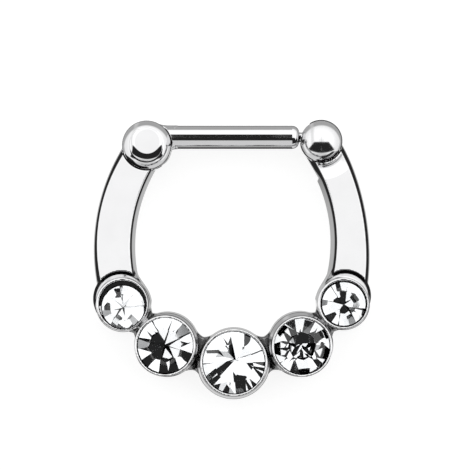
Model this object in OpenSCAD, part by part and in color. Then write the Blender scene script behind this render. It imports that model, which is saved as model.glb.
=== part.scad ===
// Clicker ring for a septum piercing, in millimetres.
// A curved metal frame carries five stones in round cups.
// A straight bar closes the gap: it is hinged on the left and catches in the ball on the right.
// X runs to the right, Y towards the bar, Z up out of the stones. The ring lies on its back at Z = 0.

/* [Bar] */
// Diameter of the bar that passes through the piercing
bar_d = 1.2; // [0.8:0.1:1.6]
// Y of the bar's centre line
bar_y = 6.31; // [5.5:0.01:7]
// X of the bar's free end
bar_end_x = 3.4; // [3:0.01:3.42]
// Rounding of the bar's free end
bar_end_round = 0.36; // [0.05:0.01:0.4]
// Diameter of the nub that enters the catch ball
nub_d = 0.5; // [0.3:0.05:0.8]
// Length of the nub past the bar's end
nub_length = 0.55; // [0.2:0.05:0.8]
// Degrees that the bar is turned open
bar_open_deg = 0; // [0:5:110]

/* [Hinge] */
// X of the hinge pin
hinge_x = -4.5; // [-5:0.01:-4]
// Y of the hinge pin
hinge_y = 5.88; // [5.5:0.01:6.5]
// Outer radius of the two cheeks
cheek_r = 1.27; // [1:0.01:1.5]
// Radius of the flat face on the front cheek, under the pin's head
cheek_face_r = 0.88; // [0.87:0.01:1]
// Radius where the front cheek's slope grows steeper
cheek_edge_r = 1.09; // [1.01:0.01:1.2]
// Slope of the front cheek round its face
cheek_slope_deg = 42; // [20:1:50]
// Slope of the front cheek's outer edge
cheek_edge_deg = 62; // [55:1:75]
// Radius of the bar's eye
eye_r = 1.22; // [1:0.01:1.4]
// Thickness of the bar's eye
eye_thick = 0.7; // [0.5:0.05:0.9]
// Radius of the hinge pin
pin_r = 0.35; // [0.25:0.01:0.5]
// Radius of the pin's front head
pin_head_r = 0.86; // [0.6:0.01:0.87]
// Radius of the flat top of that head
pin_flat_r = 0.58; // [0.3:0.01:0.6]

/* [Catch ball] */
// X of the catch ball
ball_x = 4.545; // [4:0.005:5]
// Y of the catch ball
ball_y = 6.115; // [5.5:0.005:6.5]
// Radius of the catch ball
ball_r = 1.11; // [0.9:0.01:1.3]
// Radius of the rounded arm end under the ball
collar_r = 1.04; // [1:0.01:1.3]
// Height of the slot for the nub
slot_height = 0.6; // [0.4:0.05:0.9]

/* [Frame] */
// Thickness of the arms from the back to the flat face
arm_thick = 2.05; // [1.5:0.05:2.4]
// Width of the steep band along the arms' inner front edges
arm_line = 0.05; // [0.02:0.01:0.1]
// Slope of the steep bands along the arms' front edges
arm_band_deg = 76; // [60:1:80]
// Bevel along the back edges
back_bevel = 0.12; // [0:0.01:0.3]
// Height of the cup rims
cup_height = 2.5; // [2:0.05:3]
// Slope of the cup bodies' upper edge
body_slope_deg = 58; // [45:1:70]
// Height of the webs between the cups
web_height = 0.9; // [0.7:0.05:2]

/* [Stones] */
// Thickness of the girdles as a share of the stones' radius
girdle_share = 0.12; // [0.11:0.01:0.16]
// Gap between a stone and its cup
stone_gap = 0.03; // [0.01:0.01:0.05]

/* [Colours] */
// Colour of the polished steel
steel_colour = [0.80, 0.81, 0.83];
// Colour of the clear stones
stone_colour = [0.90, 0.94, 0.98, 0.6];

/* [Hidden] */

$fn = 96;
// Steps in each rounded edge
edge_steps = 6;
// Reach of cutting shapes past the metal
past = 1;
// Middle height of the bar, the eye and the ball
mid_z = 1.25;
// Side play of the eye between the cheeks
eye_play = 0.02;
// Radial play of the eye's hole on the pin
eye_bore_play = 0.03;
// Radial gap of the pin in the cheeks
pin_gap = 0.015;
// Clearance around the eye's rim
eye_rim_gap = 0.06;
// Top of the front cheek's flat face
cheek_top = 2.47;
// Top of the pin's front head, rounding of its shoulder, and how far its flat top is worn to one side
pin_top = 2.73;
pin_shoulder = 0.55;
pin_worn_x = 0.05;
pin_worn_y = 0.15;
// Radius and depth of the rivet end in the back cheek
rivet_r = 0.56;
rivet_depth = 0.18;
// Reach of the nub slot either side of the nub's ends
slot_room = 0.06;
// How far the slot sweeps round the hinge, from under the nub to past the ball's top
slot_from_deg = 1;
slot_to_deg = 14;

// Columns of the arms' table
ARM_OUT_X = 0;
ARM_OUT_Y = 1;
ARM_OUT_R = 2;
ARM_FACE_X = 3;
ARM_FACE_Y = 4;
ARM_FACE_R = 5;
ARM_IN_X = 6;
ARM_IN_Y = 7;
ARM_IN_BACK_R = 8;
ARM_IN_FACE_R = 9;
ARM_END_X = 10;
ARM_END_Y = 11;
ARM_END_DEG = 12;
ARM_INNER_HALF = 13;
ARM_SIDE = 14;
// Each arm lies between an outer and an inner circle and ends in the hinge or the ball.
// The face circle bounds the flat front; the inner wall leans from the back to the face radius.
arms = [
    [
        3.366, 0.387, 10.685, 1.829, 0.691, 8.882, 2.801, 0.639, 7.976, 8.164,
        hinge_x, hinge_y, 59, 1.12, 1
    ],
    [
        -6.154, 0.063, 13.268, -5.305, 0.149, 12.141, -2.868, 0.867, 7.943, 8.215,
        ball_x, ball_y, 120, 1.03, -1
    ],
];
// Reach of the area kept for an arm, and how far down its inner corner is cut off at the end
arm_reach = 16;
arm_corner = 1.6;
// Y where the arms stop inside the outer cups
arm_foot_y = -1.9;

// Columns of the sinks' table: middle, radius and bevel of a sink, and the height of the face round it
SINK_X = 0;
SINK_Y = 1;
SINK_R = 2;
SINK_BEVEL = 3;
SINK_FACE = 4;
// Sinks in the arms' faces round the hinge, the ball and the outer cups, and the height of their floor
sinks = [
    [hinge_x, hinge_y, 1.32, 0.06, arm_thick],
    [ball_x, ball_y, 1.19, 0.07, 1.64],
    [-5.803, -2.068, 1.436, 0.13, arm_thick],
    [5.748, -1.914, 1.334, 0.13, arm_thick],
];
sink_floor = 1.3;
// Dish in the right arm's face round the ball: radius, slope and depth
dish_r = 1.95;
dish_deg = 30;
dish_depth = 0.43;

// Columns of the cups' table: the rim, its bore, the body below it, and the stone's place and size
CUP_X = 0;
CUP_Y = 1;
CUP_RIM = 2;
BORE_X = 3;
BORE_Y = 4;
BORE_R = 5;
BODY_X = 6;
BODY_Y = 7;
BODY_R = 8;
BODY_WALL = 9;
STONE_X = 10;
STONE_Y = 11;
STONE_R = 12;
STONE_TOP = 13;
// The five cups and their stones, from left to right. The body's wall is upright up to BODY_WALL.
cups = [
    [-5.746, -2.315, 1.342, -5.711, -2.341, 1.239, -5.71, -2.375, 1.412, 2.05, -5.71, -2.485, 1.1, 2.24],
    [-3.531, -4.474, 1.58, -3.531, -4.474, 1.452, -3.473, -4.442, 1.664, 2.05, -3.531, -4.474, 1.422, 2.48],
    [0.01, -5.34, 1.74, 0.01, -5.34, 1.62, -0.015, -5.342, 1.911, 2, 0.01, -5.34, 1.59, 2.54],
    [3.522, -4.505, 1.57, 3.522, -4.505, 1.452, 3.463, -4.425, 1.678, 2.05, 3.522, -4.505, 1.422, 2.48],
    [5.63, -2.29, 1.32, 5.665, -2.3, 1.2, 5.68, -2.33, 1.355, 2.05, 5.681, -2.328, 1.12, 2.34],
];
// The centre cup's body is also bounded by a second circle, which flattens its inner side
center_cup = 2;
center_flat_x = 0;
center_flat_y = -5.56;
center_flat_r = 1.91;
// Columns of the collars' table, and the collars that carry the outer cups' inner rims
COLLAR_X = 0;
COLLAR_Y = 1;
COLLAR_R = 2;
collars = [
    [-5.81, -2.08, 1.3],
    [5.75, -1.93, 1.19],
];
collar_from = 1.25;
collar_wall = 2.1;
// Height of the cup bodies and the collars, below the rims
body_top = 2.46;
collar_cup_top = 2.3;

// Columns of the cuts' table: share of the table, slopes of the crown and the pavilion in degrees,
// sides of the pavilion, where its first side lies as a share of a side, turn, lean and its direction
CUT_TABLE = 0;
CUT_CROWN = 1;
CUT_PAVILION = 2;
CUT_SIDES = 3;
CUT_FIRST = 4;
CUT_SPIN = 5;
CUT_LEAN = 6;
CUT_TOWARDS = 7;
// Cut and lie of the stones, from left to right
cuts = [
    [0.675, 29.9, 43.0, 8, 0.5, 6.0, 3.4, 15],
    [0.635, 40.4, 45.5, 8, 0.5, 29.2, 2.5, 84],
    [0.680, 20.2, 48.0, 16, 0.0, 13.2, 0.1, 259],
    [0.555, 26.3, 40.9, 16, 0.0, 27.4, 4.2, 91],
    [0.622, 20.8, 44.6, 8, 0.5, 33.4, 5.8, 108],
];
crown_sides = 8;
girdle_sides = 32;
// Width of a seat's ledge, play above it, free height under the point and radius of the floor there
seat_ledge = 0.12;
seat_play = 0.02;
seat_room = 0.08;
seat_floor_r = 0.2;
// Columns of the webs' table: the cups they join, and half their width at the narrowest
WEB_FROM = 0;
WEB_TO = 1;
WEB_HALF = 2;
webs = [
    [0, 1, 0.66],
    [1, 2, 0.9],
    [2, 3, 0.9],
    [3, 4, 0.66],
];
// Radius of the hollow sides of a web, its length and how far its ends reach past its waist
web_notch_r = 0.7;
web_length = 1.1;
web_flare = 0.35;
// How far the webs lie outwards of the line between their cups
web_shift = 0.1;
// Height of the rounded arm end under the ball, and its upper rounding
collar_top = 1.55;
collar_edge = 0.3;
// Rounding of the nub, and how deep the nub starts in the bar
nub_edge = 0.12;
nub_root = 0.2;
// Reach of the tongue into the bar, and how much narrower than the bar it is on each side
tongue_overlap = 0.07;
tongue_inset = 0.03;
// Recess and bevel of the pin's riveted end
rivet_recess = 0.02;
rivet_bevel = 0.06;
// How far the pin's shank reaches into its head
edge_lap = 0.03;

function arc(cx, cy, r, from, to) =
    [for (i = [0 : edge_steps]) let (a = from + (to - from) * i / edge_steps)
        [cx + r * cos(a), cy + r * sin(a)]];

function rise(i) = girdle_share * cups[i][STONE_R] / 2;
function crown_height(i) = cups[i][STONE_R] * (1 - cuts[i][CUT_TABLE]) * tan(cuts[i][CUT_CROWN]);
function girdle_z(i) = cups[i][STONE_TOP] - crown_height(i) - rise(i);
function back_reach(i) = cups[i][STONE_R] * cos(180 / cuts[i][CUT_SIDES]);
function back_depth(i) = rise(i) + back_reach(i) * tan(cuts[i][CUT_PAVILION]);

// Solid of turning with a bevelled back edge and a rounded front edge
module edged_disc(r, height, edge) {
    rotate_extrude()
        polygon(concat(
            [[0, 0], [r - back_bevel, 0], [r, back_bevel]],
            arc(r - edge, height - edge, edge, 0, 90),
            [[0, height]]
        ));
}

// Cutter for the round hollow of the ring: bevelled back edge, leaning wall and steep band
module edged_hole(back_r, face_r, height) {
    rotate_extrude()
        polygon([
            [0, -past], [back_r + back_bevel + past, -past], [back_r + back_bevel, 0],
            [back_r, back_bevel], [face_r - arm_line, height - arm_line * tan(arm_band_deg)],
            [face_r, height], [face_r, height + past], [0, height + past]
        ]);
}

// Area kept for one arm: it ends square in the hinge or ball and inside the outer cup
module arm_area(arm) {
    side = arm[ARM_SIDE];
    half = arm[ARM_INNER_HALF];
    intersection() {
        translate([arm[ARM_END_X], arm[ARM_END_Y]])
            rotate(arm[ARM_END_DEG] - 90)
                polygon([
                    [side * half, 0], [-side * arm_reach, 0], [-side * arm_reach, -arm_reach],
                    [side * arm_reach, -arm_reach], [side * half, -arm_corner]
                ]);
        translate([side > 0 ? -arm_reach : 0, arm_foot_y])
            square([arm_reach, arm_reach]);
    }
}

// Solid inside the outer circle, with the steep band up to the flat face's own circle
module arm_outside(arm) {
    band_r = arm[ARM_FACE_R] + (arm_thick + past) / tan(arm_band_deg);
    intersection() {
        translate([arm[ARM_OUT_X], arm[ARM_OUT_Y], 0])
            rotate_extrude()
                polygon([
                    [0, 0], [arm[ARM_OUT_R] - back_bevel, 0], [arm[ARM_OUT_R], back_bevel],
                    [arm[ARM_OUT_R], arm_thick], [0, arm_thick]
                ]);
        translate([arm[ARM_FACE_X], arm[ARM_FACE_Y], -past])
            cylinder(r1 = band_r, r2 = arm[ARM_FACE_R], h = arm_thick + past);
    }
}

module arm_body(arm) {
    intersection() {
        translate([0, 0, -past])
            linear_extrude(arm_thick + 2 * past)
                arm_area(arm);
        difference() {
            arm_outside(arm);
            translate([arm[ARM_IN_X], arm[ARM_IN_Y], 0])
                edged_hole(arm[ARM_IN_BACK_R], arm[ARM_IN_FACE_R], arm_thick);
        }
    }
}

// Cutter for a sink round a hinge, ball or cup: upright wall, then a bevel up through the face
module sink_cut(sink) {
    r = sink[SINK_R];
    bevel = sink[SINK_BEVEL];
    face = sink[SINK_FACE];
    translate([sink[SINK_X], sink[SINK_Y], 0])
        rotate_extrude()
            polygon([
                [0, sink_floor], [r - bevel, sink_floor], [r - bevel, face - bevel],
                [r + past, face + past], [0, face + past]
            ]);
}

// Cutter for the dish round the ball
module dish_cut() {
    translate([ball_x, ball_y, arm_thick - dish_depth])
        cylinder(
            r1 = dish_r - dish_depth / tan(dish_deg),
            r2 = dish_r + past / tan(dish_deg),
            h = dish_depth + past
        );
}

// Both arms, with the dish and the sinks in their faces
module arms_body() {
    difference() {
        union() {
            arm_body(arms[0]);
            difference() {
                arm_body(arms[1]);
                dish_cut();
            }
        }
        for (sink = sinks)
            sink_cut(sink);
    }
}

// Round body with an upright wall up to a height and a sloping edge above it
module sloped_body(x, y, r, wall_z) {
    translate([x, y, 0])
        rotate_extrude()
            polygon([
                [0, 0], [r - back_bevel, 0], [r, back_bevel], [r, wall_z],
                [r - (body_top - wall_z) / tan(body_slope_deg), body_top], [0, body_top]
            ]);
}

// Cup: a body with a sloping edge, and the rounded rim on it, each about its own centre
module cup_body(i) {
    cup = cups[i];
    edge = (cup[CUP_RIM] - cup[BORE_R]) / 2;
    translate([cup[CUP_X], cup[CUP_Y], 0])
        edged_disc(cup[CUP_RIM], cup_height, edge);
    if (i == center_cup)
        intersection() {
            sloped_body(cup[BODY_X], cup[BODY_Y], cup[BODY_R], cup[BODY_WALL]);
            sloped_body(center_flat_x, center_flat_y, center_flat_r, cup[BODY_WALL]);
        }
    else
        sloped_body(cup[BODY_X], cup[BODY_Y], cup[BODY_R], cup[BODY_WALL]);
}

// Collar on the inner side of an outer cup
module collar_body(collar) {
    r = collar[COLLAR_R];
    translate([collar[COLLAR_X], collar[COLLAR_Y], 0])
        rotate_extrude()
            polygon([
                [0, collar_from], [r, collar_from], [r, collar_wall],
                [r - collar_cup_top + collar_wall, collar_cup_top], [0, collar_cup_top]
            ]);
}

// Hollow of a cup: the bore down to the stone's girdle, then the stone's own seat and a cone
module seat_cut(i) {
    cup = cups[i];
    r = cup[STONE_R];
    wall_r = r + stone_gap;
    swing = r * sin(cuts[i][CUT_LEAN]);
    under = rise(i) + seat_ledge * tan(cuts[i][CUT_PAVILION]) + swing + seat_play;
    ledge_z = girdle_z(i) - under;
    floor_z = girdle_z(i) - back_depth(i) - seat_room;
    translate([cup[BORE_X], cup[BORE_Y], girdle_z(i)])
        cylinder(r = cup[BORE_R], h = cup_height);
    translate([cup[STONE_X], cup[STONE_Y], 0])
        rotate_extrude()
            polygon([
                [0, floor_z], [seat_floor_r, floor_z], [r - seat_ledge, ledge_z], [wall_r, ledge_z],
                [wall_r, cup_height + past], [0, cup_height + past]
            ]);
}

// Bridge between two neighbouring cups, hollowed on both sides
module web_body(web) {
    a = cups[web[WEB_FROM]];
    b = cups[web[WEB_TO]];
    dx = b[BODY_X] - a[BODY_X];
    dy = b[BODY_Y] - a[BODY_Y];
    length = norm([dx, dy]);
    from_a = (a[BODY_R] + length - b[BODY_R]) / 2;
    half = web[WEB_HALF];
    translate([a[BODY_X], a[BODY_Y], 0])
        rotate(atan2(dy, dx))
            translate([from_a, -web_shift, 0])
                linear_extrude(web_height)
                    difference() {
                        square([web_length, 2 * (half + web_flare)], center = true);
                        for (s = [-1, 1])
                            translate([0, s * (half + web_notch_r)])
                                circle(r = web_notch_r);
                    }
}

// Cheeks of the hinge with a sloping front edge, before the slot for the eye is cut
module knuckle_body() {
    edge_z = cheek_top - (cheek_edge_r - cheek_face_r) * tan(cheek_slope_deg);
    wall_z = edge_z - (cheek_r - cheek_edge_r) * tan(cheek_edge_deg);
    translate([hinge_x, hinge_y, 0])
        rotate_extrude()
            polygon([
                [0, 0], [cheek_r - back_bevel, 0], [cheek_r, back_bevel], [cheek_r, wall_z],
                [cheek_edge_r, edge_z], [cheek_face_r, cheek_top], [0, cheek_top]
            ]);
}

module ball_body() {
    translate([ball_x, ball_y, mid_z])
        sphere(r = ball_r);
    translate([ball_x, ball_y, 0])
        edged_disc(collar_r, collar_top, collar_edge);
}

// Ring-shaped path of the nub as the bar swings
module nub_slot() {
    inner = norm([bar_end_x - hinge_x, bar_y - hinge_y]) - slot_room - past;
    outer = norm([bar_end_x + nub_length - hinge_x, bar_y - hinge_y]) + slot_room;
    translate([hinge_x, hinge_y, mid_z - slot_height / 2])
        rotate(slot_from_deg)
            rotate_extrude(angle = slot_to_deg - slot_from_deg)
                translate([inner, 0])
                    square([outer - inner, slot_height]);
}

module frame() {
    slot = eye_thick + 2 * eye_play;
    color(steel_colour)
        difference() {
            union() {
                arms_body();
                for (i = [0 : len(cups) - 1])
                    cup_body(i);
                for (collar = collars)
                    collar_body(collar);
                for (web = webs)
                    web_body(web);
                knuckle_body();
                ball_body();
            }
            for (i = [0 : len(cups) - 1])
                seat_cut(i);
            nub_slot();
            translate([hinge_x, hinge_y, mid_z - slot / 2])
                cylinder(r = cheek_r + eye_rim_gap, h = slot);
            translate([hinge_x, hinge_y, -past])
                cylinder(r = pin_r + pin_gap, h = cup_height + 2 * past);
            translate([hinge_x, hinge_y, -past])
                cylinder(r = rivet_r + pin_gap, h = rivet_depth + pin_gap + past);
        }
}

// Outline of the eye and of the tongue that carries it to the bar
module eye_outline() {
    half = bar_d / 2 - tongue_inset;
    circle(r = eye_r);
    translate([0, bar_y - hinge_y - half])
        square([cheek_r + eye_rim_gap + tongue_overlap, 2 * half]);
}

// Round bar from beside the cheeks to its free end, rounded there
module shank() {
    start_x = hinge_x + cheek_r + eye_rim_gap;
    length = bar_end_x - start_x;
    translate([start_x, bar_y, mid_z])
        rotate([0, 90, 0])
            rotate_extrude()
                polygon(concat(
                    [[0, 0], [bar_d / 2, 0]],
                    arc(bar_d / 2 - bar_end_round, length - bar_end_round, bar_end_round, 0, 90),
                    [[0, length]]
                ));
}

module bar() {
    color(steel_colour)
        translate([hinge_x, hinge_y, 0])
            rotate(bar_open_deg)
                translate([-hinge_x, -hinge_y, 0])
                    difference() {
                        union() {
                            translate([hinge_x, hinge_y, mid_z - eye_thick / 2])
                                linear_extrude(eye_thick)
                                    eye_outline();
                            shank();
                            translate([bar_end_x - nub_root, bar_y, mid_z])
                                rotate([0, 90, 0])
                                    rotate_extrude()
                                        polygon(concat(
                                            [[0, 0], [nub_d / 2, 0]],
                                            arc(nub_d / 2 - nub_edge, nub_root + nub_length - nub_edge,
                                                nub_edge, 0, 90),
                                            [[0, nub_root + nub_length]]
                                        ));
                        }
                        translate([hinge_x, hinge_y, mid_z - eye_thick])
                            cylinder(r = pin_r + eye_bore_play, h = 2 * eye_thick);
                    }
}

// Pin with a riveted end in the back, and in front a round head whose flat top is worn to one side
module hinge_pin() {
    head_z = cheek_top + pin_gap;
    color(steel_colour)
        translate([hinge_x, hinge_y, 0]) {
            rotate_extrude()
                polygon([
                    [0, rivet_recess], [rivet_r - rivet_bevel, rivet_recess],
                    [rivet_r, rivet_recess + rivet_bevel], [rivet_r, rivet_depth],
                    [pin_r, rivet_depth], [pin_r, head_z + edge_lap], [0, head_z + edge_lap]
                ]);
            intersection() {
                translate([0, 0, head_z])
                    cylinder(r = pin_head_r, h = pin_top);
                translate([pin_worn_x, pin_worn_y, 0])
                    rotate_extrude()
                        polygon(concat(
                            [[0, mid_z], [pin_flat_r + pin_shoulder, mid_z]],
                            arc(pin_flat_r, pin_top - pin_shoulder, pin_shoulder, 0, 90),
                            [[0, pin_top]]
                        ));
            }
        }
}

// Stone about its girdle: flat table, flat crown sides, round girdle and the flat sides of the pavilion.
// Its corners lie in rings, listed from the table down to the point.
module chaton(i) {
    r = cups[i][STONE_R];
    n = cuts[i][CUT_SIDES];
    first = cuts[i][CUT_FIRST];
    crown_slope = tan(cuts[i][CUT_CROWN]);
    back_slope = tan(cuts[i][CUT_PAVILION]);
    crown_step = 360 / crown_sides;
    back_step = 360 / n;
    step = 360 / girdle_sides;
    crown_reach = r * cos(crown_step / 2);
    table_z = rise(i) + crown_height(i);
    table_r = (crown_reach - r * (1 - cuts[i][CUT_TABLE])) / cos(crown_step / 2);
    top_ring = crown_sides;
    bottom_ring = crown_sides + girdle_sides;
    point = crown_sides + 2 * girdle_sides;
    per_crown = girdle_sides / crown_sides;
    per_back = girdle_sides / n;
    back_start = (first - 0.5) * per_back;
    polyhedron(
        points = concat(
            [for (k = [0 : crown_sides - 1]) let (a = (k + 0.5) * crown_step)
                [table_r * cos(a), table_r * sin(a), table_z]],
            [for (k = [0 : girdle_sides - 1]) let (a = k * step, off = a - crown_step * round(a / crown_step))
                [r * cos(a), r * sin(a), rise(i) + (crown_reach - r * cos(off)) * crown_slope]],
            [for (k = [0 : girdle_sides - 1])
                let (a = k * step, b = a - first * back_step, off = b - back_step * round(b / back_step))
                [r * cos(a), r * sin(a), -rise(i) - (back_reach(i) - r * cos(off)) * back_slope]],
            [[0, 0, -back_depth(i)]]
        ),
        faces = concat(
            [[for (k = [crown_sides - 1 : -1 : 0]) k]],
            [for (k = [0 : crown_sides - 1])
                concat(
                    [(k + crown_sides - 1) % crown_sides, k],
                    [for (j = [per_crown / 2 : -1 : -per_crown / 2])
                        top_ring + (k * per_crown + j + girdle_sides) % girdle_sides]
                )],
            [for (k = [0 : girdle_sides - 1]) let (next = (k + 1) % girdle_sides)
                [top_ring + k, top_ring + next, bottom_ring + next, bottom_ring + k]],
            [for (k = [0 : n - 1])
                concat(
                    [point],
                    [for (j = [0 : per_back])
                        bottom_ring + (back_start + k * per_back + j + girdle_sides) % girdle_sides]
                )]
        )
    );
}

module stone(i) {
    color(stone_colour)
        translate([cups[i][STONE_X], cups[i][STONE_Y], girdle_z(i)])
            rotate(cuts[i][CUT_TOWARDS])
                rotate([0, cuts[i][CUT_LEAN], 0])
                    rotate(cuts[i][CUT_SPIN] - cuts[i][CUT_TOWARDS])
                        chaton(i);
}

module gem_left_outer() {
    stone(0);
}

module gem_left_inner() {
    stone(1);
}

module gem_center() {
    stone(2);
}

module gem_right_inner() {
    stone(3);
}

module gem_right_outer() {
    stone(4);
}

frame();
bar();
hinge_pin();
gem_left_outer();
gem_left_inner();
gem_center();
gem_right_inner();
gem_right_outer();
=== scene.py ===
"""Clicker ring: polished steel frame, bar and hinge pin, and five cut stones with silvered backs."""
import math

import bpy
import numpy as np
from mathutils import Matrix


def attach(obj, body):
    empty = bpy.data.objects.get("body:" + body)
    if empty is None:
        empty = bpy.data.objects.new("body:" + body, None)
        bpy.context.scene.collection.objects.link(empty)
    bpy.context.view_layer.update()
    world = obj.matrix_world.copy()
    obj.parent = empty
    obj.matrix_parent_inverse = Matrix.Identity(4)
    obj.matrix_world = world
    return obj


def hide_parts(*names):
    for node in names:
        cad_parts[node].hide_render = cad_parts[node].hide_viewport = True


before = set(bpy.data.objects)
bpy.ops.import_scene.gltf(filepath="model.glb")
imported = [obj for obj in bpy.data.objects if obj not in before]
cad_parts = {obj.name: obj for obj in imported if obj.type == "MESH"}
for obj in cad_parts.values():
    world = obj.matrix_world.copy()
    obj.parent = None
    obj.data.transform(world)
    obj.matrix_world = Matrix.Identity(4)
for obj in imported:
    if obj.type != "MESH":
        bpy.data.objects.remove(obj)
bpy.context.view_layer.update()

MM = 0.001

# ---------------------------------------------------------------- view of the photograph
PHOTO_PX = 470
MM_PER_PX = 0.052
ORIGIN_PX = (233.7, 258.7)
VIEW_DISTANCE = 110.0
MID_Z = 1.25
AXIS_X = (PHOTO_PX / 2 - ORIGIN_PX[0]) * MM_PER_PX
AXIS_Y = (ORIGIN_PX[1] - PHOTO_PX / 2) * MM_PER_PX


def at_height(z, x, y, r):
    """A circle read in the plane of the bar, taken to the height z that it really has."""
    k = (VIEW_DISTANCE + MID_Z - z) / VIEW_DISTANCE
    return AXIS_X + (x - AXIS_X) * k, AXIS_Y + (y - AXIS_Y) * k, r * k


# ---------------------------------------------------------------- sizes, in mm, as in the CAD
HINGE = (-4.5, 5.88)
CHEEK_R = 1.27
# Slopes of the front cheek: a radius and a height on each, and its degrees from level
CHEEK_SLOPES = [(0.86, 2.485, 42), (1.09, 2.278, 62)]
EYE_R, EYE_HALF, EYE_PLAY, EYE_RIM_GAP, SHANK_GAP = 1.22, 0.35, 0.02, 0.06, 0.04
PIN_R, PIN_HEAD_R, PIN_HEAD_Z, PIN_TOP, PIN_GAP = 0.35, 0.86, 2.485, 2.73, 0.015
# The head's flat top is worn to one side: its middle, its radius and the roundness of the shoulder
HEAD_MIDDLE, HEAD_FLAT_R, HEAD_SHOULDER = (-4.45, 6.03), 0.58, 0.55
HEAD_EDGE, PIN_LAP = 0.012, 0.05
RIVET_R, RIVET_DEPTH, RIVET_RECESS, RIVET_EDGE, RIVET_BACK_EDGE = 0.56, 0.18, 0.02, 0.08, 0.01
BALL = (4.545, 6.115, MID_Z)
BALL_R, COLLAR_R = 1.11, 1.04
BAR_Y, BAR_R, BAR_END, BAR_ROUND = 6.31, 0.6, 3.40, 0.36
NUB_R, NUB_LENGTH, NUB_EDGE, NUB_FROM = 0.25, 0.55, 0.12, 3.0
# Slot that the nub swings through: room past the nub, half its height, where it starts in degrees
# and how many mm count for a degree
SLOT_ROOM, SLOT_HALF, SLOT_FROM, SLOT_PER_DEGREE = 0.06, 0.3, 1, 0.14
# Tongue between eye and bar: how much narrower than the bar, its reach into it, and hollows
TONGUE_INSET, TONGUE_LAP, TONGUE_HOLLOW, EYE_EDGE = 0.03, 0.2, 0.3, 0.25
SHANK_EDGE, SHANK_HOLLOW, EYE_BORE_PLAY = 0.02, 0.1, 0.03
ARM_TOP, BACK_BEVEL = 2.05, 0.12
# Top of the cups' rims, how far the bodies lie below it, and the tops of the collars and the webs
CUP_TOP, BODY_DROP, COLLAR_CAP, WEB_TOP = 2.5, 0.04, 2.3, 0.9
# Top of the rounded arm end under the ball, and its upper rounding
BALL_COLLAR_TOP, BALL_COLLAR_EDGE = 1.55, 0.3
# Rounded edges of the metal, from crisp to soft, of the bores and nub, and of the centre cup's flat
EDGE_CRISP, EDGE, EDGE_SOFT, BORE_EDGE, FLAT_EDGE = 0.03, 0.05, 0.12, 0.04, 0.1
# Hollows where a rim, cups, webs, or the ball and hinge run into their neighbours
RIM_HOLLOW, CUP_HOLLOW, WEB_HOLLOW, SOLDER_HOLLOW = 0.05, 0.08, 0.3, 0.07
# Hollow between arms and cups: its radius, the X and Z up to which it reaches, how fast it ends
# and the shares of it that are left beyond them
ARM_HOLLOW, HOLLOW_X, HOLLOW_Z, HOLLOW_FADE, HOLLOW_LEFT = 0.4, 5.9, 1.8, 0.4, (0.1, 0.05)

# Arms: circles of the outer outline, the face's outer and inner edge and the inner outline,
# then the end point, the direction of the end in degrees and the half width kept inside
ARMS = [
    dict(out=(3.368, 0.387, 10.69), face_out=(1.842, 0.687, 8.947), face_in=(2.797, 0.64, 8.20),
         inner=(2.797, 0.64, 7.918), end=HINGE, turn=59, half=1.12, side=-1, line=0.065),
    dict(out=(-6.157, 0.062, 13.274), face_out=(-5.344, 0.141, 12.23), face_in=(-3.039, 0.873, 8.418),
         inner=(-2.691, 0.863, 7.722), end=BALL[:2], turn=120, half=1.03, side=1, line=0.035),
]
# Circles of the sinks round the hinge, the ball and the outer cups, and the width of each
ARMS[0]["grooves"] = [(*HINGE, CHEEK_R + 0.05, 0.06, ARM_TOP), (-5.803, -2.068, 1.436, 0.13, ARM_TOP)]
ARMS[1]["grooves"] = [(*BALL[:2], BALL_R + 0.04, 0.05, 1.63), (5.748, -1.914, 1.334, 0.13, ARM_TOP)]
# Dish in the right arm's face round the ball, so that the ball stands free
DISH_R, DISH_SLOPE, DISH_DEPTH, DISH_SOFT = 2.05, math.radians(34), 0.43, 0.3
GROOVE_FLOOR = 1.3
ARM_OUT_Z = 1.3
ARM_FOOT = -1.9
# Where an arm's inner corner is cut off at its end, and the lean of that cut as a unit vector
CORNER_DEPTH, CORNER_LEAN = 1.6, (0.6, 0.8)
BAND = math.radians(76)

# Cups: middle and radius of the rim and of the bore, middle and radius of the body, height where
# the body's wall begins to slope, middle and radius of the stone and height of its table
CUPS = [
    # The left outer cup's last entry says how far below its bore's middle the painted shade in that bore
    # reaches
    dict(at=(-5.746, -2.315), rim=1.342, bore=(-5.711, -2.341, 1.239), body=(-5.71, -2.375), body_r=1.412,
         slope_z=2.05, collar=(-5.81, -2.08, 1.30), stone=(-5.710, -2.485), stone_r=1.10, top=2.24, shade_reach=0.1),
    dict(at=(-3.531, -4.474), rim=1.58, bore=(-3.531, -4.474, 1.452), body=(-3.473, -4.442), body_r=1.664,
         slope_z=2.05, stone=(-3.531, -4.474), stone_r=1.422, top=2.48),
    dict(at=(0.010, -5.340), rim=1.74, bore=(0.010, -5.340, 1.62), body=(-0.015, -5.342), body_r=1.911,
         slope_z=2.0, flat=(0.0, -5.56, 1.91), stone=(0.010, -5.340), stone_r=1.59, top=2.54),
    dict(at=(3.522, -4.505), rim=1.57, bore=(3.522, -4.505, 1.452), body=(3.463, -4.425), body_r=1.678,
         slope_z=2.05, stone=(3.522, -4.505), stone_r=1.422, top=2.48),
    dict(at=(5.63, -2.29), rim=1.32, bore=(5.665, -2.30, 1.20), body=(5.68, -2.33), body_r=1.355,
         slope_z=2.05, collar=(5.75, -1.93, 1.19), stone=(5.681, -2.328), stone_r=1.12, top=2.34),
]
# Slope of the bodies' upper edge, and the collar round an outer cup, whose outward side leans
BODY_SLOPE = math.radians(58)
COLLAR_FROM, COLLAR_TOP, COLLAR_LEAN, COLLAR_FLOOR = 1.3, 2.1, 0.2, 1.2
# Webs: the two cups they join, half their width and how far they lie outwards; half their length
WEBS = [(0, 1, 0.66, 0.1), (1, 2, 0.9, 0.1), (2, 3, 0.9, 0.1), (3, 4, 0.66, 0.1)]
WEB_HALF_LENGTH = 0.5

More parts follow.
